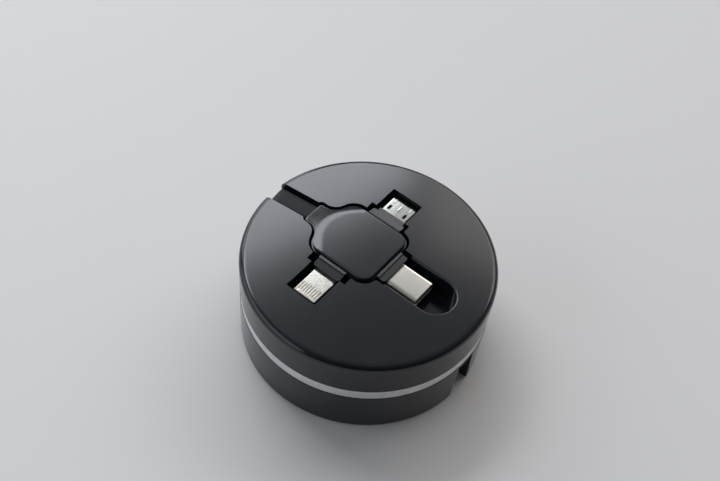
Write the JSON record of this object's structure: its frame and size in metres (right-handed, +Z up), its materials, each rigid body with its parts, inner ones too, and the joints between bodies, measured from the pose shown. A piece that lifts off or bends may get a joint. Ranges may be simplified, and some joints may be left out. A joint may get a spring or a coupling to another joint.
{
  "type": "retractable charging cable",
  "caption": "Round cable reel with a nested head of oval, flat and trapezoid charging plugs in its top, a flat cable through a rim slot, and a supply plug nested in its underside.",
  "frame": {"origin": "centre of the case's underside, on the surface it stands on", "axes": "+Z up along the reel's axle, +X towards the oval plug and the lower cable exit, -X along the top cable slot, +Y towards the trapezoid plug"},
  "size_m": [0.065, 0.065, 0.0284],
  "materials": {
    "case_plastic": "fine matte texture, charcoal",
    "trim_metal": "satin silver",
    "ball_steel": "polished",
    "reel_plastic": "natural, slightly waxy",
    "spring_steel": "rolled strip",
    "cable_jacket": "matte flat jacket",
    "collar_plastic": "satin, charcoal",
    "board_laminate": "green solder mask",
    "plug_nickel": "satin, pale warm silver",
    "bright_nickel": "bright nickel sheet",
    "insert_plastic": "matte black",
    "contact_gold": "gold plated",
    "insulator_plastic": "white, moulded"
  },
  "bodies": {
    "case": {"upper_shell": "case_plastic", "lower_shell": "case_plastic", "trim_ring": "trim_metal", "latch_ball": "ball_steel"},
    "reel": {"reel_drum": "reel_plastic", "reel_cover": "reel_plastic", "power_spring": "spring_steel", "wound_cable": "cable_jacket"},
    "head": {"hub_top_shell": "case_plastic", "hub_bottom_shell": "case_plastic", "circuit_board": "board_laminate", "type_c_collar": "collar_plastic", "type_c_shell": "plug_nickel", "type_c_insert": "insert_plastic", "type_c_contacts": "contact_gold", "eight_pin_collar": "collar_plastic", "eight_pin_tongue": "plug_nickel", "eight_pin_contacts": "contact_gold", "micro_b_collar": "collar_plastic", "micro_b_shell": "bright_nickel", "micro_b_insert": "insert_plastic", "micro_b_contacts": "contact_gold", "micro_b_latches": "spring_steel", "upper_cable": "cable_jacket"},
    "plug": {"type_a_overmould": "collar_plastic", "type_a_shell": "plug_nickel", "type_a_insulator": "insulator_plastic", "type_a_contacts": "contact_gold", "lower_cable": "cable_jacket"}
  },
  "joints": [
    {"name": "reel_spin", "type": "hinge", "parent": "case", "child": "reel", "pos_m": [0, 0, 0.013], "axis": [0, 0, 1], "range_deg": [0, 1350], "stiffness_Nm_per_rad": 0.0008, "springref_deg": -229.18, "deforming": ["power_spring"]},
    {"name": "head_lift", "type": "slide", "parent": "case", "child": "head", "axis": [0, 0, 1], "range_m": [0, 0.012], "deforming": ["upper_cable"]},
    {"name": "plug_drop", "type": "slide", "parent": "case", "child": "plug", "axis": [0, 0, -1], "range_m": [0, 0.012], "deforming": ["lower_cable"]}
  ]
}
